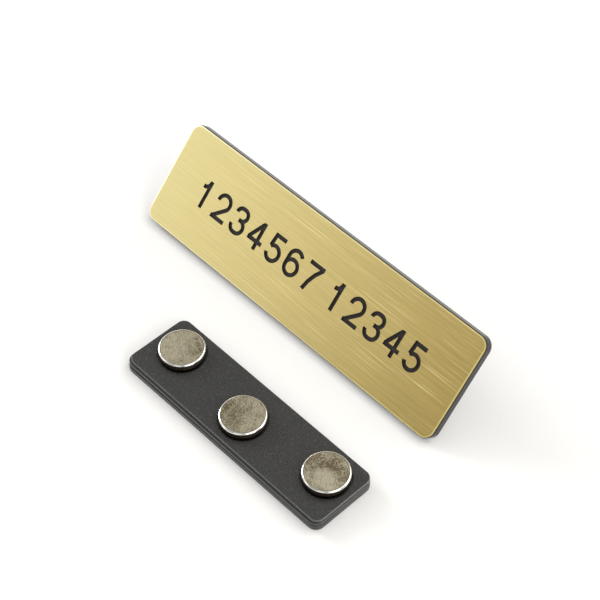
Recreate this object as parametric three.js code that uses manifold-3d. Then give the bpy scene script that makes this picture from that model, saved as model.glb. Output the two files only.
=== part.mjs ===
// Magnetic name badge: a leaning two-layer plate and its loose bar with three magnets.
// Millimetres. +X runs along both pieces, +Y points to the back, +Z is up.
// The origin is at the centre of the ground under the whole object.
import * as THREE from "three";
import { mergeVertices } from "three/addons/utils/BufferGeometryUtils.js";
import Module from "manifold-3d";

// Plate: a gold cap over a black core, leaning back from its lower edge
const PLATE_LENGTH = 70;
const PLATE_WIDTH = 19.7;
const PLATE_CORNER = 2;
const PLATE_LEAN_DEG = 48;
const CORE_THICKNESS = 1.5;
const CORE_CHAMFER = 0.14;
const FACE_THICKNESS = 0.2;
const FACE_CHAMFER = 0.08;
const FACE_BORDER = 0.14; // black rim left round the gold
const BOND_GAP = 0.3; // adhesive between the layers of the plate

// Steel strip on the back of the plate
const STRIP_LENGTH = 45;
const STRIP_WIDTH = 13;
const STRIP_THICKNESS = 0.8;
const STRIP_CORNER = 1.5;
const STRIP_CHAMFER = 0.1;

// Wedge that the strip leans on
const PROP_LENGTH = 24;
const PROP_REACH = 11.5; // how far up the slope it carries the strip
const PROP_TOP = 1.6; // flat on its top, front to back
const PROP_CLEARANCE = 0.3;
const PROP_CHAMFER = 0.2;

// Bar: a cover slab on a slightly larger body, on a foot layer
const COVER_LENGTH = 45.2;
const COVER_WIDTH = 12.6;
const COVER_THICKNESS = 0.46;
const COVER_CORNER = 1.5;
const BODY_LEDGE = 0.2; // how far the body stands out round the cover
const BODY_THICKNESS = 0.65;
const GROOVE_HEIGHT = 0.25;
const GROOVE_DEPTH = 0.3;
const FOOT_THICKNESS = 1;
const FOOT_SKEW_DEG = 0.3;
const EDGE_ROUNDING = 0.12;
const COVER_SHIFT_X = 0.1; // cover off the body's centre, to the right
const COVER_SHIFT_Y = 0.15; // and to the back

// Magnets, standing on the body in holes through the cover
const MAGNET_RADIUS = 4;
const MAGNET_THICKNESS = 1.96;
const MAGNET_ROUNDING = 0.3;
const MAGNET_CLEARANCE = 0.15;
const MAGNET_END_INSET = 1.4; // outer magnets' rims to the cover's ends
const MAGNET_BACK_INSET = 1.35; // outer magnets' rims to the cover's back edge
const MAGNET_FRONT_INSET = 1.25; // middle magnet's rim to the cover's front edge
const MAGNETS_SHIFT_X = 0.15; // all three, to the right of the cover's middle

// Ground between the bar's body and the line where the plate stands, and how far
// the bar's middle lies to the right of the plate's
const PLATE_SETBACK = 12.95;
const BAR_SHIFT_X = 11.45;

// Fineness of round stretches
const CORNER_STEPS = 5;
const ROUNDING_STEPS = 2;
const DISC_SIDES = 48;

const lean = THREE.MathUtils.degToRad(PLATE_LEAN_DEG);
const bodyLength = COVER_LENGTH + 2 * BODY_LEDGE;
const bodyWidth = COVER_WIDTH + 2 * BODY_LEDGE;
const bodyCorner = COVER_CORNER + BODY_LEDGE;

const finishes = {
  gold: new THREE.MeshStandardMaterial({ color: 0xc9b36c, roughness: 0.38, metalness: 0.9 }),
  core: new THREE.MeshStandardMaterial({ color: 0x2b282a, roughness: 0.55, metalness: 0 }),
  steel: new THREE.MeshStandardMaterial({ color: 0xb4b5b6, roughness: 0.35, metalness: 1 }),
  prop: new THREE.MeshStandardMaterial({ color: 0xd8d6d0, roughness: 0.6, metalness: 0 }),
  bar: new THREE.MeshStandardMaterial({ color: 0x3a393a, roughness: 0.65, metalness: 0 }),
  magnet: new THREE.MeshStandardMaterial({ color: 0xa9a596, roughness: 0.3, metalness: 1 }),
};

const wasm = await Module();
wasm.setup();

// A closed geometry as a solid that can be cut.
function solidOf(geometry) {
  const bare = geometry.clone();
  bare.deleteAttribute("normal");
  bare.deleteAttribute("uv");
  const merged = mergeVertices(bare);
  return new wasm.Manifold(
    new wasm.Mesh({
      numProp: 3,
      vertProperties: merged.attributes.position.array,
      triVerts: merged.index.array,
    }),
  );
}

// The cut solid as a geometry again.
function geometryOf(solid) {
  const { vertProperties, triVerts } = solid.getMesh();
  const geometry = new THREE.BufferGeometry();
  geometry.setAttribute("position", new THREE.BufferAttribute(vertProperties, 3));
  geometry.setIndex(new THREE.BufferAttribute(triVerts, 1));
  geometry.computeVertexNormals();
  return geometry;
}

// Rectangle with round corners, centred on its own origin.
function roundedRectangle(length, width, corner) {
  const x = length / 2;
  const y = width / 2;
  const r = Math.min(corner, x, y);
  const outline = new THREE.Shape();
  outline.absarc(x - r, y - r, r, 0, Math.PI / 2);
  outline.absarc(-x + r, y - r, r, Math.PI / 2, Math.PI);
  outline.absarc(-x + r, -y + r, r, Math.PI, 1.5 * Math.PI);
  outline.absarc(x - r, -y + r, r, 1.5 * Math.PI, 2 * Math.PI);
  return outline;
}

// Slab that stands on z = 0, with its long edges broken inside the given sizes.
function slab(outline, thickness, edge, steps) {
  const geometry = new THREE.ExtrudeGeometry(outline, {
    depth: thickness - 2 * edge,
    bevelThickness: edge,
    bevelSize: edge,
    bevelOffset: -edge,
    bevelSegments: steps,
    curveSegments: CORNER_STEPS,
  });
  return geometry.translate(0, 0, edge);
}

function node(name, geometry, material, x = 0, y = 0, z = 0) {
  const mesh = new THREE.Mesh(geometry, material);
  mesh.name = name;
  mesh.position.set(x, y, z);
  return mesh;
}

// The plate lies flat here, on the plane z = 0 with its lower edge on y = 0: the black core, the
// gold cap above it and the steel strip below it.
function leaningPlate() {
  const plate = new THREE.Group();
  const middle = PLATE_WIDTH / 2;
  const core = roundedRectangle(PLATE_LENGTH, PLATE_WIDTH, PLATE_CORNER);
  const face = roundedRectangle(
    PLATE_LENGTH - 2 * FACE_BORDER,
    PLATE_WIDTH - 2 * FACE_BORDER,
    PLATE_CORNER - FACE_BORDER,
  );
  const strip = roundedRectangle(STRIP_LENGTH, STRIP_WIDTH, STRIP_CORNER);
  plate.add(
    node("core_plate", slab(core, CORE_THICKNESS, CORE_CHAMFER, 1), finishes.core, 0, middle),
    node(
      "gold_face",
      slab(face, FACE_THICKNESS, FACE_CHAMFER, 1),
      finishes.gold,
      0,
      middle,
      CORE_THICKNESS + BOND_GAP,
    ),
    node(
      "steel_strip",
      slab(strip, STRIP_THICKNESS, STRIP_CHAMFER, 1),
      finishes.steel,
      0,
      middle,
      -BOND_GAP - STRIP_THICKNESS,
    ),
  );
  plate.rotation.x = lean;
  return plate;
}

// The chamfered lower edge of the core reaches the ground by the nearer of its two corners.
const coreDrop = CORE_CHAMFER * Math.min(Math.sin(lean), Math.cos(lean));

// Side view of the wedge, from the plate's lower back edge: y to the back, z up. Its slope runs
// just behind the steel strip.
function propWedge() {
  const behind = BOND_GAP + STRIP_THICKNESS + PROP_CLEARANCE;
  const slopeStart = new THREE.Vector2(
    behind * Math.sin(lean),
    -behind * Math.cos(lean) - coreDrop,
  );
  const upSlope = new THREE.Vector2(Math.cos(lean), Math.sin(lean));
  const toe = slopeStart.clone().addScaledVector(upSlope, -slopeStart.y / upSlope.y);
  const brow = slopeStart.clone().addScaledVector(upSlope, PROP_REACH);
  const inset = PROP_CHAMFER;
  const side = new THREE.Shape([
    new THREE.Vector2(toe.x, 0),
    new THREE.Vector2(brow.x + PROP_TOP, 0),
    new THREE.Vector2(brow.x + PROP_TOP, brow.y - inset),
    new THREE.Vector2(brow.x + PROP_TOP - inset, brow.y),
    new THREE.Vector2(brow.x, brow.y),
  ]);
  const geometry = new THREE.ExtrudeGeometry(side, { depth: PROP_LENGTH, bevelEnabled: false });
  geometry.translate(0, 0, -PROP_LENGTH / 2);
  // The side view's y and z become the row's y and z, and its depth runs along x.
  geometry.applyMatrix4(
    new THREE.Matrix4().makeBasis(
      new THREE.Vector3(0, 1, 0),
      new THREE.Vector3(0, 0, 1),
      new THREE.Vector3(1, 0, 0),
    ),
  );
  return node("prop_wedge", geometry, finishes.prop);
}

// Where the magnets stand on the cover, from its centre.
const outerX = COVER_LENGTH / 2 - MAGNET_END_INSET - MAGNET_RADIUS;
const outerY = COVER_WIDTH / 2 - MAGNET_BACK_INSET - MAGNET_RADIUS;
const middleY = -COVER_WIDTH / 2 + MAGNET_FRONT_INSET + MAGNET_RADIUS;
const seats = [
  { name: "magnet_left", x: MAGNETS_SHIFT_X - outerX, y: outerY },
  { name: "magnet_middle", x: MAGNETS_SHIFT_X, y: middleY },
  { name: "magnet_right", x: MAGNETS_SHIFT_X + outerX, y: outerY },
];

// Disc with rounded rims, standing on z = 0.
function magnetDisc() {
  const profile = new THREE.Path();
  const r = MAGNET_ROUNDING;
  profile.moveTo(0, 0);
  profile.lineTo(MAGNET_RADIUS - r, 0);
  profile.absarc(MAGNET_RADIUS - r, r, r, -Math.PI / 2, 0);
  profile.absarc(MAGNET_RADIUS - r, MAGNET_THICKNESS - r, r, 0, Math.PI / 2);
  profile.lineTo(0, MAGNET_THICKNESS);
  const lathe = new THREE.LatheGeometry(profile.getPoints(ROUNDING_STEPS), DISC_SIDES);
  return lathe.rotateX(Math.PI / 2);
}

// Cover slab with a hole for each magnet.
function coverWithHoles() {
  const outline = roundedRectangle(COVER_LENGTH, COVER_WIDTH, COVER_CORNER);
  const cover = solidOf(slab(outline, COVER_THICKNESS, EDGE_ROUNDING, ROUNDING_STEPS));
  const holeRadius = MAGNET_RADIUS + MAGNET_CLEARANCE;
  const drills = seats.map(({ x, y }) => {
    const drill = new THREE.CylinderGeometry(
      holeRadius,
      holeRadius,
      3 * COVER_THICKNESS,
      DISC_SIDES,
    );
    drill.rotateX(Math.PI / 2);
    drill.translate(x, y, COVER_THICKNESS / 2);
    return solidOf(drill);
  });
  return geometryOf(drills.reduce((left, drill) => left.subtract(drill), cover));
}

// Body of the bar, with the neck below it that leaves the groove.
function bodyWithNeck() {
  const outline = roundedRectangle(bodyLength, bodyWidth, bodyCorner);
  const neckOutline = roundedRectangle(
    bodyLength - 2 * GROOVE_DEPTH,
    bodyWidth - 2 * GROOVE_DEPTH,
    bodyCorner - GROOVE_DEPTH,
  );
  const upper = slab(outline, BODY_THICKNESS, EDGE_ROUNDING, ROUNDING_STEPS);
  const neck = new THREE.ExtrudeGeometry(neckOutline, {
    depth: GROOVE_HEIGHT + BODY_THICKNESS / 2,
    bevelEnabled: false,
    curveSegments: CORNER_STEPS,
  });
  upper.translate(0, 0, GROOVE_HEIGHT);
  return geometryOf(solidOf(upper).add(solidOf(neck)));
}

function magneticBar() {
  const bar = new THREE.Group();
  const bodyTop = FOOT_THICKNESS + GROOVE_HEIGHT + BODY_THICKNESS;
  const footOutline = roundedRectangle(bodyLength, bodyWidth, bodyCorner);
  const foot = slab(footOutline, FOOT_THICKNESS, EDGE_ROUNDING, ROUNDING_STEPS);
  foot.rotateZ(THREE.MathUtils.degToRad(FOOT_SKEW_DEG));
  bar.add(
    node("bar_foot", foot, finishes.bar),
    node("bar_body", bodyWithNeck(), finishes.bar, 0, 0, FOOT_THICKNESS),
    node("bar_cover", coverWithHoles(), finishes.bar, COVER_SHIFT_X, COVER_SHIFT_Y, bodyTop),
  );
  for (const { name, x, y } of seats) {
    bar.add(
      node(name, magnetDisc(), finishes.magnet, x + COVER_SHIFT_X, y + COVER_SHIFT_Y, bodyTop),
    );
  }
  return bar;
}

const badge = new THREE.Group();
const standing = new THREE.Group();
const plate = leaningPlate();
plate.position.z = -coreDrop;
standing.add(plate, propWedge());
standing.position.y = bodyWidth / 2 + PLATE_SETBACK;
const bar = magneticBar();
bar.position.x = BAR_SHIFT_X;
badge.add(standing, bar);

// The whole object is centred over the origin.
badge.updateMatrixWorld(true);
const bounds = new THREE.Box3().setFromObject(badge, true);
const centre = bounds.getCenter(new THREE.Vector3());
badge.position.set(-centre.x, -centre.y, 0);

export default badge;
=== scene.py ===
"""Magnetic name badge: an engraved plate leaning on its prop, and its loose bar of three magnets.

Everything is in metres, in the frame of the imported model: +X along the plate in reading
direction, +Y to the back, +Z up. Each piece is shaped with mesh operators on a flat bench round
the origin, takes its size and place from the node that it stands for, and is dressed with a
procedural finish.
"""

import logging
import math
from contextlib import contextmanager
from dataclasses import dataclass, replace
from enum import Enum
from typing import Callable, Iterator

import bmesh
import bpy
from mathutils import Matrix, Vector


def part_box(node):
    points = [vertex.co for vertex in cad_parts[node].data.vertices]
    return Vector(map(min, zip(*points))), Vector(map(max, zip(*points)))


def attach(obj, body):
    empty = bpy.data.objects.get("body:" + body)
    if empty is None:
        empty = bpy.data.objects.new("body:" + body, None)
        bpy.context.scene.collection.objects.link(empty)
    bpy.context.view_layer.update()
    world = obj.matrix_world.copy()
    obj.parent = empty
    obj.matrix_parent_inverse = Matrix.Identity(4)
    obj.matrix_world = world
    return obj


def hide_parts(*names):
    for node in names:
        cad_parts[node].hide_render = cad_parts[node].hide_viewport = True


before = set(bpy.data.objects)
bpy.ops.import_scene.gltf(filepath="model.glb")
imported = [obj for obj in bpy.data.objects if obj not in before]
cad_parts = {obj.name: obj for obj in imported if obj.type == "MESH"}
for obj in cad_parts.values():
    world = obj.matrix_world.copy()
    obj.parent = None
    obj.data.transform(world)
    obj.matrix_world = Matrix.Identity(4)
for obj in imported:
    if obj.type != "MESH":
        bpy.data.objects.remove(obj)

LOG = logging.getLogger("badge")
MM = 0.001
ROOT_BODY = "root"
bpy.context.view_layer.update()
TOUCH = 0.001 * MM

# Parts of a unit normal along one axis: nearly all of it, half of it, and a slight part.
FLAT = 0.99
STEEP = 0.5
SLIGHT = 0.3

# Ranges that nearly all of a noise's values fall in, and the greater part of them.
NOISE_RANGE = (0.3, 0.7)
NOISE_MIDDLE = (0.34, 0.66)

Colour = tuple[float, float, float, float]
Pair = tuple[float, float]
Socket = bpy.types.NodeSocket
Input = Socket | float | tuple[float, ...]
Size = Vector | tuple[float, float, float]


class Slot(Enum):
    """Material slots of the record."""

    GOLD = "gold"
    CORE = "core"
    STRIP = "strip_steel"
    PROP = "prop"
    BAR = "bar"
    MAGNET = "magnet"


class Facing(Enum):
    """Which side of a flat workpiece is meant."""

    UP = 1.0
    DOWN = -1.0


class Part(Enum):
    """What is picked on a mesh, by its select mode and its list."""

    CORNER = ("VERT", "verts")
    EDGE = ("EDGE", "edges")
    FACE = ("FACE", "faces")


class Tooling(Enum):
    """What one solid does to another."""

    CUT = "DIFFERENCE"
    FUSE = "UNION"


def clear_selection() -> None:
    """Deselects every object, the frame's nodes included."""
    bpy.ops.object.select_all(action="DESELECT")


def shift(x: float, y: float, z: float) -> Matrix:
    """A move along the three axes."""
    return Matrix.Translation((x, y, z))


def node_size(node: str) -> Vector:
    """Length, width and height of a node's box."""
    low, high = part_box(node)
    return high - low


def node_seat(node: str) -> Vector:
    """Middle of the underside of a node's box."""
    low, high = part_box(node)
    return Vector((*((low + high) / 2).xy, low.z))


def extrude(step: Size) -> None:
    """Extrudes what is selected, in edit mode."""
    bpy.ops.mesh.extrude_region_move(TRANSFORM_OT_translate={"value": step})


def bevel(part: Part, width: float, segments: int) -> None:
    """Rounds the selected corners or edges, in edit mode."""
    affect = "VERTICES" if part is Part.CORNER else "EDGES"
    bpy.ops.mesh.bevel(offset_type="OFFSET", offset=width, segments=segments, affect=affect)


def lies_at(part: bmesh.types.BMEdge | bmesh.types.BMFace, level: float) -> bool:
    """Whether an edge or a face lies flat at a height."""
    return all(abs(vert.co.z - level) < TOUCH for vert in part.verts)


class Workpiece:
    """One mesh on the bench, shaped by operators and handed over as a piece of the badge."""

    SMOOTH_ANGLE = math.radians(35)

    def __init__(self, name: str) -> None:
        """Takes over the object that an operator has just added.

        Args:
            name: the piece's name.
        """
        self.obj = bpy.context.object
        self.obj.name = name
        self.obj.data.name = name

    @classmethod
    def sheet(cls, name: str, length: float, width: float) -> "Workpiece":
        """Adds a flat sheet, centred on the bench.

        Args:
            name: the piece's name.
            length: size along X.
            width: size along Y.

        Returns:
            The workpiece.
        """
        clear_selection()
        bpy.ops.mesh.primitive_plane_add(size=1)
        piece = cls(name)
        piece.place(Matrix.Diagonal((length, width, 1, 1)))
        return piece

    @classmethod
    def disc(cls, name: str, radius: float, sides: int) -> "Workpiece":
        """Adds a flat disc, centred on the bench.

        Args:
            name: the piece's name.
            radius: its radius.
            sides: corners of its outline.

        Returns:
            The workpiece.
        """
        clear_selection()
        bpy.ops.mesh.primitive_circle_add(radius=radius, vertices=sides, fill_type="NGON")
        return cls(name)

    @classmethod
    def rounded_slab(cls, name: str, size: Size, corner: float, segments: int) -> "Workpiece":
        """Adds a slab with round corners that stands on the bench.

        Args:
            name: the piece's name.
            size: its length, width and height.
            corner: radius of its corners.
            segments: in each corner's arc.

        Returns:
            The workpiece.
        """
        length, width, height = size
        slab = cls.sheet(name, length, width)
        with slab.editing():
            bpy.ops.mesh.select_all(action="SELECT")
            bevel(Part.CORNER, corner, segments)
        slab.thicken(height)
        return slab

    def hold(self) -> None:
        """Selects this piece alone."""
        clear_selection()
        self.obj.select_set(True)
        bpy.context.view_layer.objects.active = self.obj

    @contextmanager
    def editing(self) -> Iterator[None]:
        """Opens the piece in edit mode with nothing selected."""
        self.hold()
        bpy.ops.object.mode_set(mode="EDIT")
        bpy.ops.mesh.select_all(action="DESELECT")
        yield
        bpy.ops.object.mode_set(mode="OBJECT")

    def place(self, matrix: Matrix) -> None:
        """Carries the piece to another place, and keeps that place in its mesh.

        Args:
            matrix: from where it is to where it goes.
        """
        self.obj.matrix_world = matrix @ self.obj.matrix_world
        self.hold()
        bpy.ops.object.transform_apply(location=True, rotation=True, scale=True)

    def level(self, facing: Facing) -> float:
        """The height of the piece's top or underside."""
        heights = [vert.co.z for vert in self.obj.data.vertices]
        return max(heights) if facing is Facing.UP else min(heights)

    def pick(self, part: Part, test: Callable[..., bool]) -> None:
        """Selects the corners, edges or faces that pass a test, in edit mode.

        Args:
            part: which of the three.
            test: takes one of them, and says whether it is meant.
        """
        mode, elements = part.value
        bpy.ops.mesh.select_mode(type=mode)
        mesh = bmesh.from_edit_mesh(self.obj.data)
        for element in getattr(mesh, elements):
            element.select_set(test(element))
        bmesh.update_edit_mesh(self.obj.data)

    def pick_side(self, facing: Facing, level: float) -> None:
        """Selects the flat faces of the top or underside at a height, in edit mode."""
        turned = facing.value
        self.pick(Part.FACE, lambda face: face.normal.z * turned > FLAT and lies_at(face, level))

    def thicken(self, height: float) -> None:
        """Pulls a flat shape up into a solid.

        Args:
            height: how thick it gets.
        """
        with self.editing():
            bpy.ops.mesh.select_all(action="SELECT")
            extrude((0, 0, height))
            bpy.ops.mesh.select_all(action="SELECT")
            bpy.ops.mesh.normals_make_consistent(inside=False)

    def draw_ring(self, facing: Facing, inset: float, rise: float = 0.0) -> None:
        """Draws the outline of a side once more, further in, and raises what it encloses.

        Args:
            facing: the side that is drawn on.
            inset: how far inside the present outline.
            rise: how far the enclosed face comes out, or goes in where below zero.
        """
        level = self.level(facing)
        with self.editing():
            self.pick_side(facing, level)
            bpy.ops.mesh.inset(thickness=inset, depth=rise)

    def round_rim(self, facing: Facing, radius: float, segments: int) -> None:
        """Rounds the edge round the top or the underside.

        Args:
            facing: the side whose edge is rounded.
            radius: of the rounding.
            segments: in its arc.
        """
        level = self.level(facing)

        def on_rim(edge: bmesh.types.BMEdge) -> bool:
            """Whether an edge lies on the side, with a wall beside it."""
            walled = any(abs(face.normal.z) < STEEP for face in edge.link_faces)
            return walled and lies_at(edge, level)

        with self.editing():
            self.pick(Part.EDGE, on_rim)
            bevel(Part.EDGE, radius, segments)

    def combine(self, tool: "Workpiece", tooling: Tooling, crossing: bool = False) -> None:
        """Cuts another solid out of this one or fuses it on, and puts the other away.

        Args:
            tool: the other closed solid.
            tooling: which of the two.
            crossing: whether the other's own parts run through each other.
        """
        modifier = self.obj.modifiers.new("combine", "BOOLEAN")
        modifier.operation = tooling.value
        modifier.solver = "EXACT"
        modifier.use_self = crossing
        modifier.object = tool.obj
        self.apply(modifier.name)
        bpy.data.objects.remove(tool.obj)

    def join(self, *others: "Workpiece") -> None:
        """Makes other workpieces a part of this one.

        Args:
            others: the workpieces that are taken in.
        """
        self.hold()
        for other in others:
            other.obj.select_set(True)
        bpy.ops.object.join()

    def apply(self, modifier: str) -> None:
        """Applies one of the piece's modifiers, by its name."""
        self.hold()
        bpy.ops.object.modifier_apply(modifier=modifier)

    def dress(self, *materials: bpy.types.Material) -> None:
        """Gives the piece its finishes.

        Args:
            materials: the finish of each of its material slots.
        """
        self.obj.data.materials.clear()
        for material in materials:
            self.obj.data.materials.append(material)

    def paint_faces(self, material: bpy.types.Material, test: Callable[..., bool]) -> None:
        """Gives some faces another of the piece's finishes.

        Args:
            material: the finish.
            test: takes a face, and says whether it is meant.
        """
        index = self.obj.data.materials.find(material.name)
        for polygon in filter(test, self.obj.data.polygons):
            polygon.material_index = index

    def deliver(self, slot: Slot, *nodes: str) -> None:
        """Shades the finished piece and mounts it on the frame.

        Args:
            slot: the record's material slot for the piece; not used.
            nodes: the nodes that it stands for.
        """
        self.hold()
        bpy.ops.object.shade_smooth_by_angle(angle=self.SMOOTH_ANGLE)
        weighted = self.obj.modifiers.new("weighted", "WEIGHTED_NORMAL")
        weighted.keep_sharp = True
        self.apply(weighted.name)
        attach(self.obj, ROOT_BODY)
        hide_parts(*nodes)
        faces = len(self.obj.data.polygons)
        LOG.info("%s stands for %s with %d faces", self.obj.name, ", ".join(nodes), faces)


@dataclass(frozen=True)
class Run:
    """A straight move of the pen."""

    length: float


@dataclass(frozen=True)
class Turn:
    """A round move of the pen, to the left where the degrees are above zero."""

    radius: float
    degrees: float


@dataclass(frozen=True)
class Stroke:
    """One stroke of the pen: where it starts, which way it heads, and its moves."""

    start: Pair
    heading: float
    moves: tuple[Run | Turn, ...]


@dataclass(frozen=True)
class EngravingPen:
    """A flat pen that pushes an edge of its own width along the bench."""

    weight: float
    degrees_per_step: float = 11.25
    weld: float = 0.002 * MM

    def draw(self, stroke: Stroke, origin: Pair) -> Workpiece:
        """Draws one stroke as a flat ribbon.

        Args:
            stroke: the stroke.
            origin: where the digit's lower left corner lies.

        Returns:
            The ribbon.
        """
        ribbon = Workpiece.sheet("stroke", 1, self.weight)
        with ribbon.editing():
            ribbon.pick(Part.CORNER, lambda corner: corner.co.x > 0)
            bpy.ops.mesh.delete(type="VERT")
        place = Vector((origin[0] + stroke.start[0], origin[1] + stroke.start[1], 0))
        heading = math.radians(stroke.heading)
        ribbon.place(
            Matrix.Translation(place) @ Matrix.Rotation(heading, 4, "Z") @ shift(0.5, 0, 0)
        )
        with ribbon.editing():
            bpy.ops.mesh.select_all(action="SELECT")
            for move in stroke.moves:
                place, heading = self._push(move, place, heading)
            bpy.ops.mesh.select_all(action="SELECT")
            bpy.ops.mesh.remove_doubles(threshold=self.weld)
        return ribbon

    def _push(self, move: Run | Turn, place: Vector, heading: float) -> tuple[Vector, float]:
        """Pushes the selected edge along one move.

        Args:
            move: the move.
            place: the middle of the edge.
            heading: its direction, in radians.

        Returns:
            The new middle and direction.
        """
        ahead = Vector((math.cos(heading), math.sin(heading), 0))
        if isinstance(move, Run):
            step = ahead * move.length
            extrude(step)
            return place + step, heading
        angle = math.radians(move.degrees)
        aside = Vector((-ahead.y, ahead.x, 0)) * math.copysign(move.radius, move.degrees)
        centre = place + aside
        # With no window, the spin operator turns clockwise about an axis that points up.
        bpy.ops.mesh.spin(
            steps=math.ceil(abs(move.degrees) / self.degrees_per_step),
            angle=-angle,
            center=centre,
            axis=(0, 0, 1),
        )
        return centre + Matrix.Rotation(angle, 3, "Z") @ (place - centre), heading + angle


@dataclass(frozen=True)
class DigitStencil:
    """Plain grotesque digits, counted up from one, that fill the engraving's place."""

    groups: tuple[int, ...] = (7, 5)
    height: float = 5.25 * MM
    width: float = 3.5 * MM
    weight: float = 0.76 * MM
    pitch: float = 4.5 * MM
    gap: float = 1.4 * MM

    @property
    def left(self) -> float:
        """Where the middle of a stroke on the left side runs."""
        return self.weight / 2

    @property
    def right(self) -> float:
        """Where the middle of a stroke on the right side runs."""
        return self.width - self.weight / 2

    @property
    def base(self) -> float:
        """Height of the middle of a stroke along the base."""
        return self.weight / 2

    @property
    def top(self) -> float:
        """Height of the middle of a stroke along the top."""
        return self.height - self.weight / 2

    @property
    def bowl(self) -> float:
        """Radius of a bowl as wide as the digit, to the middle of its stroke."""
        return (self.width - self.weight) / 2

    def one(self) -> tuple[Stroke, ...]:
        """Stem with a bent flag."""
        stem, tip = 0.57 * self.width, (0.19 * self.width, 0.73 * self.height)
        flag = (Run(0.25 * MM), Turn(0.95 * MM, 75), Run(0.5 * MM))
        return Stroke((stem, 0), 90, (Run(self.height),)), Stroke(tip, 0, flag)

    def two(self) -> tuple[Stroke, ...]:
        """Bowl, slanting leg and base."""
        tail = 0.1 * MM
        centre = self.top - self.bowl
        leg = math.sqrt(2) * (centre - self.base) - self.bowl
        foot = 0.06 * self.width
        return (
            Stroke((self.left, centre - tail), 90, (Run(tail), Turn(self.bowl, -225), Run(leg))),
            Stroke((foot, self.base), 0, (Run(self.width - foot),)),
        )

    def three(self) -> tuple[Stroke, ...]:
        """Two bowls, the lower one wider."""
        small = 0.77 * self.bowl
        waist = self.top - 2 * small
        large = (waist - self.base) / 2
        bend = self.right - large
        start, nose = self.left + 0.07 * MM, Run(0.45 * MM)
        upper = (Turn(small, -90), Run(bend - start - small), Turn(small, -180), nose)
        lower = (nose, Turn(large, -180), Run(bend - self.left - large), Turn(large, -90))
        return (
            Stroke((start, self.top - small), 90, upper),
            Stroke((bend - nose.length, waist), 0, lower),
        )

    def four(self) -> tuple[Stroke, ...]:
        """Stem, crossbar and slope."""
        stem, bar = 0.68 * self.width, 0.295 * self.height
        foot = Vector((0.1 * self.width, bar + 0.05 * MM))
        slope = Vector((stem - 0.15 * MM, self.height - 0.3 * MM)) - foot
        return (
            Stroke((stem, 0), 90, (Run(self.height),)),
            Stroke((0.02 * self.width, bar), 0, (Run(0.98 * self.width),)),
            Stroke(tuple(foot), math.degrees(math.atan2(slope.y, slope.x)), (Run(slope.length),)),
        )

    def five(self) -> tuple[Stroke, ...]:
        """Flag, neck and open bowl."""
        neck, begin = (0.26 * self.width, self.height - 0.05 * MM), 140
        start = (
            self.width / 2 + self.bowl * math.cos(math.radians(begin)),
            self.base + self.bowl + self.bowl * math.sin(math.radians(begin)),
        )
        return (
            Stroke((0.19 * self.width, self.top), 0, (Run(0.72 * self.width),)),
            Stroke(neck, 264.9, (Run(0.47 * self.height),)),
            Stroke(start, begin - 90, (Turn(self.bowl, -305),)),
        )

    def six(self) -> tuple[Stroke, ...]:
        """Closed bowl with a hooked stem."""
        centre = self.base + self.bowl
        climb = self.top - self.bowl - centre
        return (
            Stroke((self.left, centre), 90, (Turn(self.bowl, -360),)),
            Stroke((self.left + 0.01 * MM, centre), 90, (Run(climb), Turn(self.bowl, -150))),
        )

    def seven(self) -> tuple[Stroke, ...]:
        """Flag and a leg that bends down."""
        start, heading, turn = (0.91 * self.width, self.top - 0.12 * MM), -130, 33
        fall = math.cos(math.radians(heading + turn)) - math.cos(math.radians(heading))
        return (
            Stroke((0.03 * self.width, self.top), 0, (Run(0.97 * self.width),)),
            Stroke(start, heading, (Turn(start[1] / fall, turn),)),
        )

    def cutter(self, left: float, base: float, low: float, high: float) -> Workpiece:
        """All the digits as one solid that reaches through a layer.

        Args:
            left: where the first digit starts along the bench.
            base: the line that the digits stand on.
            low: height of the solid's underside.
            high: height of its top.

        Returns:
            The solid, whose strokes run through each other.
        """
        shapes = (self.one, self.two, self.three, self.four, self.five, self.six, self.seven)
        pen = EngravingPen(self.weight)
        ribbons = []
        for count in self.groups:
            for shape in shapes[:count]:
                ribbons += [pen.draw(stroke, (left, base)) for stroke in shape()]
                left += self.pitch
            left += self.gap
        for ribbon in ribbons:
            ribbon.thicken(high - low)
        first, *others = ribbons
        first.join(*others)
        first.place(shift(0, 0, low))
        return first


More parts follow.
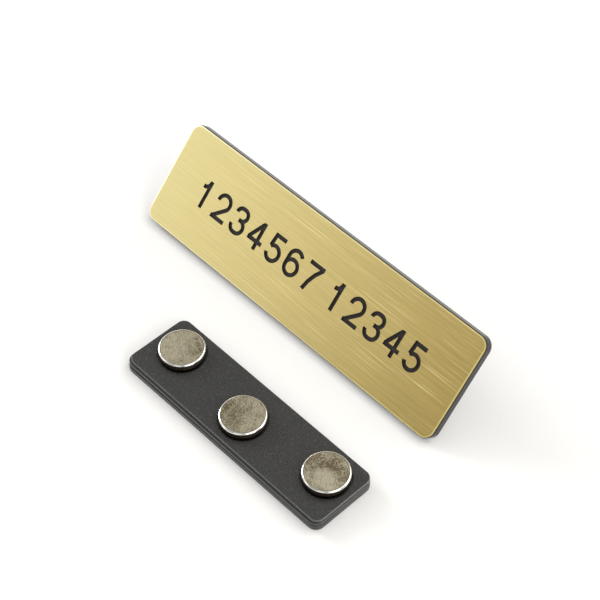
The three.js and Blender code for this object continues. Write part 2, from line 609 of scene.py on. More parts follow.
class NodeSheet:
    """A node tree that is being wired."""

    def __init__(self, tree: bpy.types.NodeTree) -> None:
        """Starts on a material's, the world's or a group's tree."""
        self.tree = tree

    def feed(self, socket: Socket, value: Input) -> None:
        """Sets a socket, or wires another one to it.

        Args:
            socket: the input.
            value: what goes in.
        """
        if isinstance(value, Socket):
            self.tree.links.new(value, socket)
        else:
            socket.default_value = value

    def add(
        self, kind: str, inputs: dict[str | int, Input] | None = None, **settings: object
    ) -> bpy.types.Node:
        """Adds a node, and sets or wires its inputs.

        Args:
            kind: the node's type name, without the leading word that shader nodes share.
            inputs: what goes into its inputs, by name or number.
            settings: the node's own settings.

        Returns:
            The node.
        """
        node = self.tree.nodes.new(kind if kind.startswith("Node") else f"ShaderNode{kind}")
        for name, value in settings.items():
            setattr(node, name, value)
        for name, value in (inputs or {}).items():
            self.feed(node.inputs[name], value)
        return node

    def maths(self, operation: str, *values: Input) -> Socket:
        """One step of arithmetic on values or sockets."""
        return self.add("Math", dict(enumerate(values)), operation=operation).outputs[0]

    def blend(self, share: Input, first: Input, second: Input) -> Socket:
        """Mixes a share of the second colour into the first."""
        return self.add("Mix", {0: share, 6: first, 7: second}, data_type="RGBA").outputs[2]

    def spread(
        self, value: Input, low: Input, high: Input, to_low: Input = 0.0, to_high: Input = 1.0
    ) -> Socket:
        """Maps the numbers from low to high to another range, held at its ends."""
        return self.add("MapRange", {0: value, 1: low, 2: high, 3: to_low, 4: to_high}).outputs[0]

    def noise(
        self, place: Input, scale: Input = 1.0, detail: float = 2.0, roughness: float = 0.5
    ) -> Socket:
        """A cloudy pattern round one half, with finer layers of that roughness."""
        inputs = {"Vector": place, "Scale": scale, "Detail": detail, "Roughness": roughness}
        return self.add("TexNoise", inputs).outputs[0]

    def stretch(
        self,
        place: Input,
        step: tuple[float, float, float],
        start: tuple[float, float, float] = (0, 0, 0),
        turn: float = 0.0,
    ) -> Socket:
        """Moves, turns and stretches the place that a pattern is read at.

        Args:
            place: the place.
            step: length of one pattern step along each turned axis, in the place's units.
            start: where the pattern starts, in the same units.
            turn: of the pattern about Z, in degrees.

        Returns:
            The vector's socket.
        """
        inputs = {
            "Vector": place,
            "Scale": step,
            "Location": start,
            "Rotation": (0, 0, math.radians(turn)),
        }
        return self.add("Mapping", inputs, vector_type="TEXTURE").outputs[0]

    def away(self, place: Input, centre: Vector) -> Socket:
        """How far a place lies from a centre."""
        inputs = {0: place, 1: centre}
        return self.add("VectorMath", inputs, operation="DISTANCE").outputs["Value"]

    def part_of(self, place: Input, axis: str) -> Socket:
        """A place's part along X, Y or Z."""
        return self.add("SeparateXYZ", {0: place}).outputs[axis]

    def surface(self) -> Socket:
        """The surface's own place, in metres."""
        return self.add("TexCoord").outputs["Object"]


class EffectGroup:
    """A shader effect that several finishes share, built once."""

    def __init__(
        self, name: str, inputs: dict[str, float | None], outputs: tuple[str, ...]
    ) -> None:
        """Makes an empty group with its sockets.

        Args:
            name: the group's name.
            inputs: default of each input by name, or none where it takes a place.
            outputs: names of the numbers that come out.
        """
        self.tree = bpy.data.node_groups.new(name, "ShaderNodeTree")
        new_socket = self.tree.interface.new_socket
        for label, default in inputs.items():
            if default is None:
                new_socket(label, in_out="INPUT", socket_type="NodeSocketVector")
            else:
                socket = new_socket(label, in_out="INPUT", socket_type="NodeSocketFloat")
                socket.default_value = default
        for label in outputs:
            new_socket(label, in_out="OUTPUT", socket_type="NodeSocketFloat")
        self.sheet = NodeSheet(self.tree)
        self.entry = self.sheet.add("NodeGroupInput").outputs
        self.exit = self.sheet.add("NodeGroupOutput").inputs

    def give(self, **results: Socket) -> None:
        """Wires the group's outputs, by name."""
        for name, socket in results.items():
            self.tree.links.new(socket, self.exit[name])

    def use(self, sheet: NodeSheet, **values: Input) -> bpy.types.NodeOutputs:
        """Places the group in a finish, with its own values, and gives its outputs."""
        return sheet.add("Group", values, node_tree=self.tree).outputs


def streak_group() -> EffectGroup:
    """Lines left by a brush, with a few longer and brighter scratches.

    Returns:
        The group: a Place in lines goes in; Streaks, Bands and Scratches come out, from 0 to 1.
    """
    group = EffectGroup("brush_streaks", {"Place": None}, ("Streaks", "Bands", "Scratches"))
    sheet, place = group.sheet, group.entry["Place"]
    band_step, band_start = (2.2, 3.6, 3.6), (7.1, 28.3, 5.7)
    scratch_step, scratch_start = (0.9, 1.0, 1.0), (17.3, 5.1, 9.7)
    scratch_range = (0.72, 0.79)
    fine = sheet.noise(place, detail=2, roughness=0.6)
    broad = sheet.noise(sheet.stretch(place, band_step, band_start), detail=2)
    thin = sheet.noise(sheet.stretch(place, scratch_step, scratch_start), detail=0)
    group.give(
        Streaks=sheet.spread(fine, *NOISE_RANGE),
        Bands=sheet.spread(broad, *NOISE_MIDDLE),
        Scratches=sheet.spread(thin, *scratch_range),
    )
    return group


def grain_group() -> EffectGroup:
    """Fine grain of a moulded, cut or pressed surface.

    Returns:
        The group: Place and Pitch, in metres, go in; Grain and Specks come out, from 0 to 1.
    """
    group = EffectGroup("moulded_grain", {"Place": None, "Pitch": 0.2 * MM}, ("Grain", "Specks"))
    sheet, place = group.sheet, group.entry["Place"]
    fine = sheet.maths("DIVIDE", 1.0, group.entry["Pitch"])
    coarseness, speck_range = 0.6, (0.64, 0.76)
    coarse = sheet.maths("MULTIPLY", fine, coarseness)
    group.give(
        Grain=sheet.spread(sheet.noise(place, fine, 3, 0.65), *NOISE_RANGE),
        Specks=sheet.spread(sheet.noise(place, coarse, 1), *speck_range),
    )
    return group


def wear_group() -> EffectGroup:
    """Mottled wear of a plated face: clouds, fine pits, short strokes and light scratches.

    Returns:
        The group: Place, in metres, goes in; Cloud, Fine, Strokes and Scratches come out, from
        0 to 1.
    """
    outputs = ("Cloud", "Fine", "Strokes", "Scratches")
    group = EffectGroup("plating_wear", {"Place": None}, outputs)
    sheet, place = group.sheet, group.entry["Place"]
    cloud_size, fine_size = 1.2 * MM, 0.26 * MM
    stroke_length, stroke_width, stroke_turn = 0.9 * MM, 0.15 * MM, -44
    scratch_width, scratch_range, stroke_range = 0.13 * MM, (0.70, 0.78), (0.56, 0.72)
    scratches = None
    for turn, length in ((22, 3.2 * MM), (61, 2.6 * MM), (112, 2.0 * MM), (158, 2.8 * MM)):
        step = (length, scratch_width, scratch_width)
        lines = sheet.stretch(place, step, (turn * MM, 0, 0), turn)
        line = sheet.spread(sheet.noise(lines, detail=0), *scratch_range)
        scratches = sheet.maths("MAXIMUM", scratches, line) if scratches else line
    stroke = sheet.stretch(place, (stroke_length, stroke_width, stroke_width), turn=stroke_turn)
    group.give(
        Cloud=sheet.spread(sheet.noise(place, 1 / cloud_size, 2, 0.5), *NOISE_MIDDLE),
        Fine=sheet.spread(sheet.noise(place, 1 / fine_size, 2, 0.6), *NOISE_RANGE),
        Strokes=sheet.spread(sheet.noise(stroke, detail=1), *stroke_range),
        Scratches=scratches,
    )
    return group


STREAKS = streak_group()
GRAIN = grain_group()
WEAR = wear_group()


class Paint:
    """A material whose shader is being wired."""

    def __init__(self, name: str, metallic: float = 0.0) -> None:
        """Starts a material.

        Args:
            name: its name.
            metallic: how metallic it is all over.
        """
        self.material = bpy.data.materials.new(name)
        self.material.use_nodes = True
        self.sheet = NodeSheet(self.material.node_tree)
        self.shader = self.material.node_tree.nodes["Principled BSDF"]
        self.shader.inputs["Metallic"].default_value = metallic

    def coat(
        self,
        colour: Socket,
        roughness: Input,
        height: Socket | None = None,
        depth: float = 0.0,
    ) -> bpy.types.Material:
        """Wires the finish into the shader.

        Args:
            colour: the surface's colour.
            roughness: its roughness.
            height: its relief, from 0 to 1.
            depth: how deep the relief is, in metres.

        Returns:
            The material.
        """
        self.sheet.feed(self.shader.inputs["Base Color"], colour)
        self.sheet.feed(self.shader.inputs["Roughness"], roughness)
        if height:
            bump = self.sheet.add("Bump", {"Height": height, "Distance": depth, "Strength": 1.0})
            self.sheet.feed(self.shader.inputs["Normal"], bump.outputs[0])
        return self.material


@dataclass(frozen=True)
class BrushedGold:
    """Satin gold film, brushed along the plate, with painted shade: darker and more streaked
    towards its right end, where the light falls off.
    """

    name: str = "brushed_gold"
    # Colours at the left and right ends; the right one is darker, as painted shade of the light
    # falling off along the plate.
    left: Colour = (0.70, 0.625, 0.31, 1)
    right: Colour = (0.535, 0.41, 0.148, 1)
    # Pale colour of the scratches, painted as their glint.
    scratch: Colour = (0.98, 0.87, 0.48, 1)
    line_length: float = 12 * MM
    line_width: float = 0.11 * MM
    band_share: float = 0.10
    half_length: float = 35 * MM
    left_contrast: float = 0.12
    right_contrast: float = 0.42
    roughness: Pair = (0.34, 0.40)
    relief: float = 0.005 * MM
    scratch_strength: float = 0.8
    left_scratches: float = 0.4

    def build(self) -> bpy.types.Material:
        """Makes the material."""
        paint = Paint(self.name, metallic=1.0)
        sheet = paint.sheet
        surface = sheet.surface()
        lines = sheet.stretch(surface, (self.line_length, self.line_width, self.line_width))
        brush = STREAKS.use(sheet, Place=lines)
        both = sheet.spread(self.band_share, 0, 1, brush["Streaks"], brush["Bands"])
        # Painted shade along the plate: the colour darkens from the left end to the right, and the
        # streaks' contrast grows towards the right.
        reach = sheet.part_of(surface, "X")
        along = sheet.spread(reach, -self.half_length, self.half_length)
        contrast = sheet.spread(along, 0, 1, self.left_contrast, self.right_contrast)
        uneven = sheet.maths("SUBTRACT", both, 0.5)
        shade = sheet.maths("MULTIPLY_ADD", uneven, contrast, 1.0)
        even = sheet.blend(along, self.left, self.right)
        tone = sheet.add("VectorMath", {0: even, "Scale": shade}, operation="SCALE").outputs[0]
        # Real scratches, painted pale as their glint, fewer towards the left end.
        deep = sheet.maths("MULTIPLY", brush["Scratches"], self.scratch_strength)
        share = sheet.maths("MULTIPLY", deep, sheet.spread(along, 0, 1, self.left_scratches, 1))
        colour = sheet.blend(share, tone, self.scratch)
        return paint.coat(colour, sheet.spread(both, 0, 1, *self.roughness), both, self.relief)


@dataclass(frozen=True)
class GrainedSurface:
    """A fine-grained surface, in some cases with paler specks: plastic, laminate core, paper."""

    name: str
    dark: Colour
    light: Colour
    speck: Colour | None = None
    grain_pitch: float = 0.3 * MM
    roughness: Pair = (0.42, 0.58)
    relief: float = 0.008 * MM
    specular: float = 0.5

    def build(self) -> bpy.types.Material:
        """Makes the material."""
        paint = Paint(self.name)
        paint.shader.inputs["Specular IOR Level"].default_value = self.specular
        sheet = paint.sheet
        outputs = GRAIN.use(sheet, Place=sheet.surface(), Pitch=self.grain_pitch)
        grain = outputs["Grain"]
        colour = sheet.blend(grain, self.dark, self.light)
        if self.speck:
            colour = sheet.blend(outputs["Specks"], colour, self.speck)
        roughness = sheet.spread(grain, 0, 1, *self.roughness)
        return paint.coat(colour, roughness, grain if self.relief else None, self.relief)


@dataclass(frozen=True)
class Rub:
    """A round patch of a disc's face, rubbed bright, or dull where the change is below zero."""

    place: Pair
    radius: float
    change: float


@dataclass(frozen=True)
class WornNickel:
    """Nickel plating, clouded, pitted and finely scratched on its face, smooth at its rim, and
    painted dark down its side as shade.
    """

    name: str
    centre: Vector
    rubs: tuple[Rub, ...]
    base: float = -0.02
    cloud_share: float = 0.40
    fine_share: float = 0.70
    raggedness: float = 0.8 * MM
    rub_core: float = 0.4
    bright: Colour = (0.80, 0.735, 0.545, 1)
    dull: Colour = (0.17, 0.14, 0.085, 1)
    plated: Colour = (0.92, 0.91, 0.89, 1)
    # Dark brown, painted down the disc's side as shade.
    side: Colour = (0.26, 0.21, 0.16, 1)
    side_drop: Pair = (0.22 * MM, 0.42 * MM)
    stroke_strength: float = 0.6
    scratch_strength: float = 0.45
    face_radius: float = 3.66 * MM
    seam_width: float = 0.1 * MM
    seam_strength: float = 0.75
    face_roughness: Pair = (0.42, 0.26)
    rim_roughness: float = 0.12
    relief: float = 0.004 * MM

    def build(self) -> bpy.types.Material:
        """Makes the material."""
        paint = Paint(self.name, metallic=1.0)
        sheet = paint.sheet
        surface = sheet.surface()
        wear = WEAR.use(sheet, Place=surface)
        mottle = sheet.maths("MULTIPLY_ADD", wear["Cloud"], self.cloud_share, self.base)
        mottle = sheet.maths("MULTIPLY_ADD", wear["Fine"], self.fine_share, mottle)
        for rub in self.rubs:
            middle = self.centre + Vector((*rub.place, 0))
            away = sheet.away(surface, middle)
            away = sheet.maths("MULTIPLY_ADD", wear["Fine"], self.raggedness, away)
            rubbed = sheet.spread(away, self.rub_core * rub.radius, rub.radius, rub.change, 0)
            mottle = sheet.maths("ADD", mottle, rubbed)
        tone = sheet.blend(mottle, self.dull, self.bright)
        stroke = sheet.maths("MULTIPLY", wear["Strokes"], self.stroke_strength)
        tone = sheet.blend(stroke, tone, self.dull)
        scratch = sheet.maths("MULTIPLY", wear["Scratches"], self.scratch_strength)
        tone = sheet.blend(scratch, tone, self.bright)
        out = sheet.away(surface, self.centre)
        rim = sheet.spread(out, self.face_radius, self.face_radius + self.seam_width)
        off_seam = sheet.maths("ABSOLUTE", sheet.maths("SUBTRACT", out, self.face_radius))
        seam = sheet.spread(off_seam, 0, self.seam_width, self.seam_strength, 0)
        # The side below the rim's rounding is painted dark brown as shade.
        height = sheet.part_of(surface, "Z")
        drop = sheet.maths("SUBTRACT", self.centre.z, height)
        edge = sheet.blend(sheet.spread(drop, *self.side_drop), self.plated, self.side)
        colour = sheet.blend(seam, sheet.blend(rim, tone, edge), self.dull)
        face_roughness = sheet.spread(mottle, 0, 1, *self.face_roughness)
        roughness = sheet.spread(rim, 0, 1, face_roughness, self.rim_roughness)
        return paint.coat(colour, roughness, wear["Fine"], self.relief)


@dataclass(frozen=True)
class ZincedSteel:
    """Plain zinc-plated steel with a faint rolling grain."""

    name: str = "zinced_steel"
    dark: Colour = (0.42, 0.43, 0.44, 1)
    light: Colour = (0.60, 0.61, 0.62, 1)
    line_length: float = 14 * MM
    line_width: float = 0.2 * MM
    roughness: Pair = (0.28, 0.42)
    relief: float = 0.002 * MM

    def build(self) -> bpy.types.Material:
        """Makes the material."""
        paint = Paint(self.name, metallic=1.0)
        sheet = paint.sheet
        step = (self.line_length, self.line_width, self.line_width)
        lines = sheet.stretch(sheet.surface(), step)
        rolled = STREAKS.use(sheet, Place=lines)["Streaks"]
        colour = sheet.blend(rolled, self.dark, self.light)
        return paint.coat(colour, sheet.spread(rolled, 0, 1, *self.roughness), rolled, self.relief)


GOLD_FACE = BrushedGold()
# The cut edge's finish: a paler gold, painted as the edge's highlight.
GOLD_CUT_HIGHLIGHT = BrushedGold(
    "cut_gold_highlight",
    left=(0.92, 0.86, 0.56, 1),
    right=(0.95, 0.82, 0.34, 1),
    right_contrast=0.12,
    scratch_strength=0,
)
ENGRAVED_CORE = GrainedSurface(
    "engraved_core",
    dark=(0.020, 0.016, 0.016, 1),
    light=(0.034, 0.029, 0.030, 1),
    grain_pitch=0.22 * MM,
    roughness=(0.38, 0.50),
    relief=0.002 * MM,
    specular=0.26,
)
CUT_CORE = replace(ENGRAVED_CORE, name="cut_core", roughness=(0.13, 0.20), specular=0.19)
BAR_PLASTIC = GrainedSurface(
    "charcoal_moulding",
    dark=(0.012, 0.012, 0.012, 1),
    light=(0.051, 0.051, 0.050, 1),
    speck=(0.075, 0.075, 0.070, 1),
    grain_pitch=0.24 * MM,
    roughness=(0.28, 0.40),
    relief=0.010 * MM,
)
# Paler moulding, painted on the cover's rim, sides and hole rims as highlight and reflection.
RIM_HIGHLIGHT = GrainedSurface(
    "rim_highlight_moulding",
    dark=(0.09, 0.09, 0.09, 1),
    light=(0.145, 0.145, 0.143, 1),
    speck=(0.18, 0.18, 0.175, 1),
    grain_pitch=0.24 * MM,
    roughness=(0.24, 0.34),
    relief=0.004 * MM,
)
# Near-black finish, painted into the bar's groove and on the foot under the body as shade.
GROOVE_PAINTED_SHADE = GrainedSurface(
    "groove_painted_shade",
    dark=(0.006, 0.006, 0.006, 1),
    light=(0.012, 0.012, 0.012, 1),
    speck=(0.020, 0.020, 0.019, 1),
    roughness=(0.7, 0.85),
)
PROP_PLASTIC = GrainedSurface(
    "pale_moulding",
    dark=(0.60, 0.59, 0.56, 1),
    light=(0.70, 0.69, 0.66, 1),
    speck=(0.76, 0.75, 0.72, 1),
)
ADHESIVE = GrainedSurface(
    "adhesive_pad",
    dark=(0.10, 0.10, 0.10, 1),
    light=(0.16, 0.16, 0.155, 1),
    speck=(0.22, 0.22, 0.21, 1),
    grain_pitch=0.12 * MM,
    roughness=(0.7, 0.85),
    relief=0.02 * MM,
)
PAPER = GrainedSurface(
    "paper_floor",
    dark=(0.922, 0.922, 0.924, 1),
    light=(0.936, 0.936, 0.938, 1),
    grain_pitch=0.7 * MM,
    roughness=(0.9, 0.9),
    relief=0,
    specular=0.1,
)

MAGNET_WEAR = {
    "left": (
        Rub((-1.0 * MM, -1.0 * MM), 5.0 * MM, 0.22),
        Rub((2.1 * MM, 2.1 * MM), 3.0 * MM, -0.26),
    ),
    "middle": (
        Rub((-1.6 * MM, -1.4 * MM), 4.6 * MM, -0.38),
        Rub((2.5 * MM, 0.1 * MM), 2.6 * MM, 0.20),
    ),
    "right": (
        Rub((-0.2 * MM, 1.4 * MM), 3.0 * MM, -0.50),
        Rub((2.3 * MM, 1.1 * MM), 2.6 * MM, -0.40),
        Rub((-3.2 * MM, -0.7 * MM), 3.4 * MM, -0.40),
        Rub((0.7 * MM, -0.9 * MM), 2.6 * MM, 0.85),
        Rub((2.2 * MM, -1.5 * MM), 2.7 * MM, 0.30),
    ),
}


def is_sloping(face: bpy.types.MeshPolygon) -> bool:
    """Whether a face lies on an upper edge that is rounded or eased."""
    return SLIGHT < face.normal.z < FLAT


@dataclass
class LeaningPlate:
    """The engraved plate: a gold cap on a black core, with its steel strip and its prop."""

    lean: float = math.radians(48)
    corner: float = 2 * MM
    corner_segments: int = 18
    core_thickness: float = 1.5 * MM
    core_chamfer: float = 0.14 * MM
    bond: float = 0.3 * MM
    cap_thickness: float = 0.2 * MM
    cap_cut_width: float = 0.2 * MM
    cap_cut_depth: float = 0.09 * MM
    face_border: float = 0.14 * MM
    engraving_depth: float = 0.1 * MM
    engraving_left: float = 7.4 * MM
    engraving_drop: float = 9.78 * MM
    strip_corner: float = 1.5 * MM
    strip_thickness: float = 0.8 * MM
    strip_chamfer: float = 0.1 * MM
    strip_rounding: float = 0.12 * MM
    rounding_segments: int = 3
    pad_inset: float = 0.4 * MM
    prop_rounding: float = 0.2 * MM
    prop_top: float = 1.6 * MM

    def __post_init__(self) -> None:
        """Takes the plate's size and place from the frame, and mixes its finishes."""
        low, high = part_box("core_plate")
        rise, run = math.sin(self.lean), math.cos(self.lean)
        foot = self.core_chamfer * run
        self.length = high.x - low.x
        upright = self.core_thickness - self.core_chamfer
        self.width = (high.z - low.z + foot - upright * run) / rise
        self.to_place = (
            shift(0, high.y - (self.width - self.core_chamfer) * run, low.z - foot)
            @ Matrix.Rotation(self.lean, 4, "X")
            @ shift(0, self.width / 2, 0)
        )
        self.engraved = ENGRAVED_CORE.build()

    def build(self) -> None:
        """Builds every piece that stands or leans."""
        self.build_cap()
        self.build_core()
        self.build_strip()
        self.build_prop()

    def digits(self, low: float, high: float) -> Workpiece:
        """The engraved digits as a solid that reaches through a layer.

        Args:
            low: height of its underside on the bench.
            high: height of its top.

        Returns:
            The solid.
        """
        stencil = DigitStencil()
        base = self.width / 2 - self.engraving_drop - stencil.height / 2
        return stencil.cutter(self.engraving_left - self.length / 2, base, low, high)

    def build_cap(self) -> None:
        """The gold cap, with its cut edge painted pale as a highlight, and the digits cut through
        it.
        """
        seat = self.core_thickness + self.bond
        length, width = (size - 2 * self.face_border for size in (self.length, self.width))
        size = (length, width, self.cap_thickness - self.cap_cut_depth)
        corner = self.corner - self.face_border
        cap = Workpiece.rounded_slab("gold_cap", size, corner, self.corner_segments)
        cap.draw_ring(Facing.UP, self.cap_cut_width, self.cap_cut_depth)
        cap.place(shift(0, 0, seat))
        through = self.digits(seat - self.engraving_depth, seat + 2 * self.cap_thickness)
        cap.combine(through, Tooling.CUT, crossing=True)
        cut = GOLD_CUT_HIGHLIGHT.build()
        cap.dress(GOLD_FACE.build(), self.engraved, cut)
        cap.paint_faces(
            self.engraved, lambda face: abs(face.normal.z) < STEEP and self.is_inside(face)
        )
        # The cut edge's sloping faces take the paler gold, painted as a highlight.
        cap.paint_faces(cut, is_sloping)
        cap.place(self.to_place)
        cap.deliver(Slot.GOLD, "gold_face")

    def is_inside(self, face: bpy.types.MeshPolygon) -> bool:
        """Whether a face of a layer on the bench lies well inside the plate's outline."""
        across = abs(face.center.y) < self.width / 2 - self.corner
        return across and abs(face.center.x) < self.length / 2 - self.corner

    def build_core(self) -> None:
        """The black core, with the engraving's floor sunk into it."""
        thickness = self.core_thickness + self.bond
        size = (self.length, self.width, thickness - 2 * self.core_chamfer)
        core = Workpiece.rounded_slab("core_slab", size, self.corner, self.corner_segments)
        core.place(shift(0, 0, self.core_chamfer))
        core.draw_ring(Facing.UP, self.core_chamfer, self.core_chamfer)
        core.draw_ring(Facing.DOWN, self.core_chamfer, self.core_chamfer)
        sunk = self.digits(thickness - self.engraving_depth, thickness + self.cap_thickness)
        core.combine(sunk, Tooling.CUT, crossing=True)
        core.dress(CUT_CORE.build(), self.engraved)
        core.paint_faces(self.engraved, lambda face: is_sloping(face) or self.is_inside(face))
        core.place(self.to_place)
        core.deliver(Slot.CORE, "core_plate")

    def build_strip(self) -> None:
        """The steel strip on the back, on its adhesive pad."""
        length, _, height = node_size("steel_strip")
        upright = self.strip_thickness - 2 * self.strip_chamfer
        width = (height - upright * math.cos(self.lean)) / math.sin(self.lean)
        size, corner = (length, width, self.strip_thickness), self.strip_corner
        strip = Workpiece.rounded_slab("counter_strip", size, corner, self.corner_segments)
        for facing in Facing:
            strip.round_rim(facing, self.strip_rounding, self.rounding_segments)
        strip.place(shift(0, 0, -self.bond - self.strip_thickness))
        adhesive = ADHESIVE.build()
        strip.dress(ZincedSteel().build(), adhesive)
        size = (length - 2 * self.pad_inset, width - 2 * self.pad_inset, self.bond)
        corner -= self.pad_inset
        pad = Workpiece.rounded_slab("pad", size, corner, self.corner_segments)
        pad.place(shift(0, 0, -self.bond))
        pad.dress(*strip.obj.data.materials)
        pad.paint_faces(adhesive, lambda face: True)
        strip.join(pad)
        strip.place(self.to_place)
        strip.deliver(Slot.STRIP, "steel_strip")

    def build_prop(self) -> None:
        """The plain wedge, with its edges eased, that the strip leans on."""
        length, reach, height = node_size("prop_wedge")
        seat = node_seat("prop_wedge")
        middle = seat.z + height / 2
        prop = Workpiece.sheet("prop_block", length, reach)
        prop.place(shift(*seat))
        prop.thicken(height)
        with prop.editing():
            prop.pick(Part.CORNER, lambda corner: corner.co.y < seat.y and corner.co.z > middle)
            bpy.ops.transform.translate(value=(0, reach - self.prop_top, 0))
            prop.pick(Part.EDGE, lambda edge: True)
            bevel(Part.EDGE, self.prop_rounding, self.rounding_segments)
        prop.dress(PROP_PLASTIC.build())
        prop.deliver(Slot.PROP, "prop_wedge")


@dataclass
class MagneticBar:
    """The loose bar: a cover slab on a body and a foot, and three plated discs."""

    corner: float = 1.5 * MM
    ledge: float = 0.2 * MM
    corner_segments: int = 14
    edge_rounding: float = 0.10 * MM
    edge_segments: int = 4
    groove_height: float = 0.30 * MM
    groove_depth: float = 0.3 * MM
    neck_gap: float = 0.02 * MM
    foot_skew: float = math.radians(0.22)
    hole_clearance: float = 0.26 * MM
    hole_easing: float = 0.05 * MM
    magnet_rounding: float = 0.32 * MM
    magnet_sides: int = 96
    upper_segments: int = 6
    lower_segments: int = 5
    land_inset: float = 0.05 * MM
    land_depth: float = 0.02 * MM

    def __post_init__(self) -> None:
        """Mixes the bar's finishes: as moulded, painted pale at the cover's rim and sides as a
        highlight, and painted dark in the groove as shade.
        """
        self.moulded = BAR_PLASTIC.build()
        self.rubbed = RIM_HIGHLIGHT.build()
        self.painted_groove_shade = GROOVE_PAINTED_SHADE.build()

    def build(self) -> None:
        """Builds the bar and its magnets."""
        self.build_foot()
        self.build_body()
        self.build_cover()
        for name, rubs in MAGNET_WEAR.items():
            self.build_magnet(name, rubs)

    def layer(self, name: str, size: Size, corner: float) -> Workpiece:
        """A slab of the bar.

        Args:
            name: its name.
            size: its length, width and height.
            corner: radius of its corners.

        Returns:
            The workpiece, standing on the bench.
        """
        slab = Workpiece.rounded_slab(name, size, corner, self.corner_segments)
        slab.dress(self.moulded, self.rubbed, self.painted_groove_shade)
        return slab

    def build_foot(self) -> None:
        """The lowest layer, a little askew under the body."""
        length, width, _ = node_size("bar_body")
        size = (length, width, node_size("bar_foot").z)
        foot = self.layer("bar_foot_layer", size, self.corner + self.ledge)
        foot.round_rim(Facing.DOWN, self.edge_rounding, self.edge_segments)
        # The foot's top, under the body, is painted dark as shade.
        foot.paint_faces(self.painted_groove_shade, lambda face: face.normal.z > FLAT)
        seat = shift(*node_seat("bar_body").xy, node_seat("bar_foot").z)
        foot.place(seat @ Matrix.Rotation(self.foot_skew, 4, "Z"))
        foot.deliver(Slot.BAR, "bar_foot")

    def build_body(self) -> None:
        """The body on its narrower neck, which is flush at the right end."""
        length, width, height = node_size("bar_body")
        corner, groove = self.corner + self.ledge, self.groove_height
        body = self.layer("bar_body_layer", (length, width, height - groove), corner)
        body.round_rim(Facing.UP, self.edge_rounding, self.edge_segments)
        body.place(shift(0, 0, groove))
        size = (
            length - self.groove_depth - self.neck_gap,
            width - 2 * self.groove_depth,
            groove + height / 2,
        )
        neck = self.layer("neck", size, corner - self.groove_depth)
        neck.place(shift((self.groove_depth - self.neck_gap) / 2, 0, 0))
        # The neck's faces, except at the flush right end, are painted dark as shade in the groove.
        neck.paint_faces(self.painted_groove_shade, lambda face: face.normal.x < SLIGHT)
        body.combine(neck, Tooling.FUSE)
        body.place(shift(*node_seat("bar_body")))
        body.deliver(Slot.BAR, "bar_body")

    def build_cover(self) -> None:
        """The cover slab, with a round hole for each magnet."""
        size, seat = node_size("bar_cover"), node_seat("bar_cover")
        cover = self.layer("bar_cover_layer", size, self.corner)
        cover.round_rim(Facing.UP, self.edge_rounding, self.edge_segments)
        # The cover's rim and sides are painted pale as a highlight.
        cover.paint_faces(self.rubbed, lambda face: abs(face.normal.z) < FLAT)
        cover.place(shift(*seat))
        for name in MAGNET_WEAR:
            cover.combine(self.drill(name, seat.z, size.z), Tooling.CUT)
        # The eased rims of the holes are painted pale as a highlight too.
        cover.paint_faces(self.rubbed, is_sloping)
        cover.deliver(Slot.BAR, "bar_cover")

    def drill(self, name: str, floor: float, height: float) -> Workpiece:
        """A drill for one magnet's hole, flared where it leaves the cover's top.

        Args:
            name: which of the three.
            floor: height of the cover's underside.
            height: how thick the cover is.

        Returns:
            The drill, in its place.
        """
        node, easing = f"magnet_{name}", self.hole_easing
        radius = node_size(node).x / 2 + self.hole_clearance
        shaft, flare = 2 * height - easing, 1 + easing / radius
        drill = Workpiece.disc("drill", radius, self.magnet_sides)
        drill.thicken(shaft)
        with drill.editing():
            drill.pick_side(Facing.UP, shaft)
            extrude((0, 0, easing))
            bpy.ops.transform.resize(value=(flare, flare, 1))
            extrude((0, 0, height))
        drill.place(shift(*node_seat(node).xy, floor - height))
        return drill

    def build_magnet(self, name: str, rubs: tuple[Rub, ...]) -> None:
        """One plated disc.

        Args:
            name: which of the three.
            rubs: the rubbed patches of its face.
        """
        node = f"magnet_{name}"
        size, seat = node_size(node), node_seat(node)
        disc = Workpiece.disc(f"{node}_disc", size.x / 2, self.magnet_sides)
        disc.thicken(size.z)
        disc.round_rim(Facing.UP, self.magnet_rounding, self.upper_segments)
        disc.round_rim(Facing.DOWN, self.magnet_rounding, self.lower_segments)
        disc.draw_ring(Facing.UP, self.land_inset, -self.land_depth)
        disc.place(shift(*seat))
        centre = seat + Vector((0, 0, size.z))
        disc.dress(WornNickel(f"nickel_{name}", centre, rubs).build())
        disc.deliver(Slot.MAGNET, node)


@dataclass(frozen=True)
class SoftLight:
    """A rectangular soft light that faces the badge."""

    name: str
    place: tuple[float, float, float]
    width: float
    height: float
    radiance: float
    colour: tuple[float, float, float] = (1, 1, 1)

    def build(self) -> None:
        """Hangs the light."""
        lamp = bpy.data.lights.new(self.name, "AREA")
        lamp.shape = "RECTANGLE"
        lamp.size = self.width
        lamp.size_y = self.height
        lamp.energy = self.radiance * math.pi * self.width * self.height
        lamp.color = self.colour
        holder = bpy.data.objects.new(self.name, lamp)
        holder.location = self.place
        holder.rotation_mode = "QUATERNION"
        holder.rotation_quaternion = (-Vector(self.place)).to_track_quat("-Z", "Y")
        bpy.context.scene.collection.objects.link(holder)


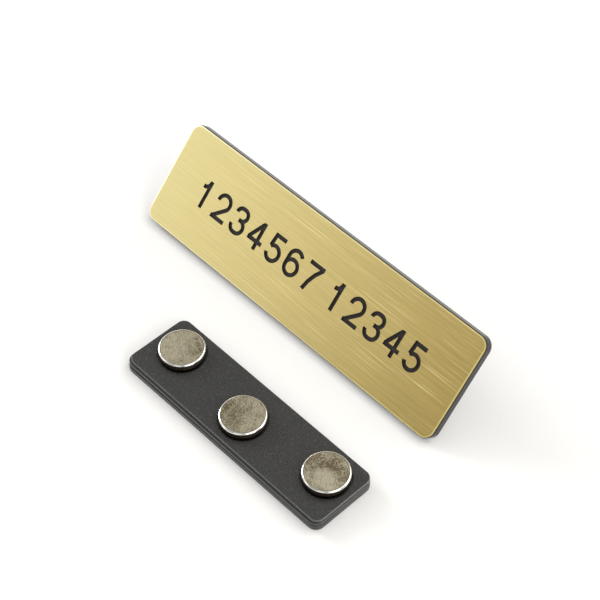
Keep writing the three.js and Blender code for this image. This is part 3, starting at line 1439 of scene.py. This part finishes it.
@dataclass
class Studio:
    """Floor, tent, lights and camera."""

    floor_size: float = 1.2
    wall: Colour = (0.92, 0.90, 0.87, 1)
    opening: Colour = (0.30, 0.29, 0.28, 1)
    ceiling: Colour = (0.46, 0.45, 0.43, 1)
    ceiling_edge: Pair = (0.42, 0.62)
    opening_side: tuple[float, float, float] = (0.70, -0.71, 0)
    opening_edge: Pair = (0.08, 0.42)
    focal_pixels: float = 1625.9
    frame_pixels: float = 600
    sensor: float = 36.0
    yaw: float = math.radians(135.636)
    pitch: float = math.radians(49.413)
    roll: float = math.radians(0.671)
    distance: float = 282.86 * MM
    look_from_cover: Pair = (-13.36 * MM, 24.72 * MM)
    clip_start: float = 10 * MM
    lights: tuple[SoftLight, ...] = (
        SoftLight("key_left", (-0.42, -0.02, 0.50), 0.34, 0.34, 0.6, (1.0, 0.98, 0.94)),
        SoftLight("key_back", (0.05, 0.45, 0.50), 0.34, 0.34, 2.5, (1.0, 0.98, 0.94)),
        SoftLight("left_low", (-0.56, -0.10, 0.22), 0.30, 0.30, 7.4, (0.96, 0.98, 1.0)),
        SoftLight("front_left", (-0.32, -0.49, 0.24), 0.20, 0.30, 0.8, (1.0, 0.93, 0.80)),
        SoftLight("front_right", (0.25, -0.52, 0.25), 0.26, 0.30, 0.9, (1.0, 0.93, 0.80)),
        SoftLight("right", (0.56, -0.12, 0.30), 0.40, 0.40, 3.0, (1.0, 0.99, 0.96)),
        SoftLight("high_right", (0.29, 0.24, 0.62), 0.50, 0.50, 1.0),
        SoftLight("right_back", (0.42, 0.40, 0.22), 0.26, 0.20, 2.6),
    )

    def build(self) -> None:
        """Sets up everything that isn't part of the badge."""
        self.build_floor()
        self.build_tent()
        for light in self.lights:
            light.build()
        self.build_camera()
        view = bpy.context.scene.view_settings
        view.view_transform = "Standard"
        view.look = "None"

    def build_floor(self) -> None:
        """The pale floor."""
        floor = Workpiece.sheet("floor", self.floor_size, self.floor_size)
        floor.dress(PAPER.build())

    def build_tent(self) -> None:
        """A pale tent: its wall bright, its ceiling quieter, and open towards the camera."""
        world = bpy.data.worlds.new("tent")
        world.use_nodes = True
        bpy.context.scene.world = world
        sheet = NodeSheet(world.node_tree)
        direction = sheet.add("TexCoord").outputs["Generated"]
        height = sheet.part_of(direction, "Z")
        inputs = {0: direction, 1: self.opening_side}
        side = sheet.add("VectorMath", inputs, operation="DOT_PRODUCT").outputs["Value"]
        low = sheet.blend(sheet.spread(side, *self.opening_edge), self.wall, self.opening)
        colour = sheet.blend(sheet.spread(height, *self.ceiling_edge), low, self.ceiling)
        sheet.feed(world.node_tree.nodes["Background"].inputs["Color"], colour)

    def build_camera(self) -> None:
        """The camera at the photograph's place and angle."""
        data = bpy.data.cameras.new("camera")
        data.sensor_width = self.sensor
        data.lens = self.sensor * self.focal_pixels / self.frame_pixels
        data.clip_start = self.clip_start
        camera = bpy.data.objects.new("camera", data)
        bpy.context.scene.collection.objects.link(camera)
        right_angle = math.pi / 2
        turned = (
            Matrix.Rotation(self.yaw - right_angle, 4, "Z")
            @ Matrix.Rotation(right_angle - self.pitch, 4, "X")
            @ Matrix.Rotation(self.roll, 4, "Z")
        )
        aim = node_seat("bar_cover").xy + Vector(self.look_from_cover)
        camera.matrix_world = shift(*aim, 0) @ turned @ shift(0, 0, self.distance)
        bpy.context.scene.camera = camera


def main() -> None:
    """Builds the badge, then its studio."""
    logging.basicConfig(level=logging.INFO, format="%(name)s: %(message)s")
    LeaningPlate().build()
    MagneticBar().build()
    Studio().build()


if __name__ == "__main__":
    main()
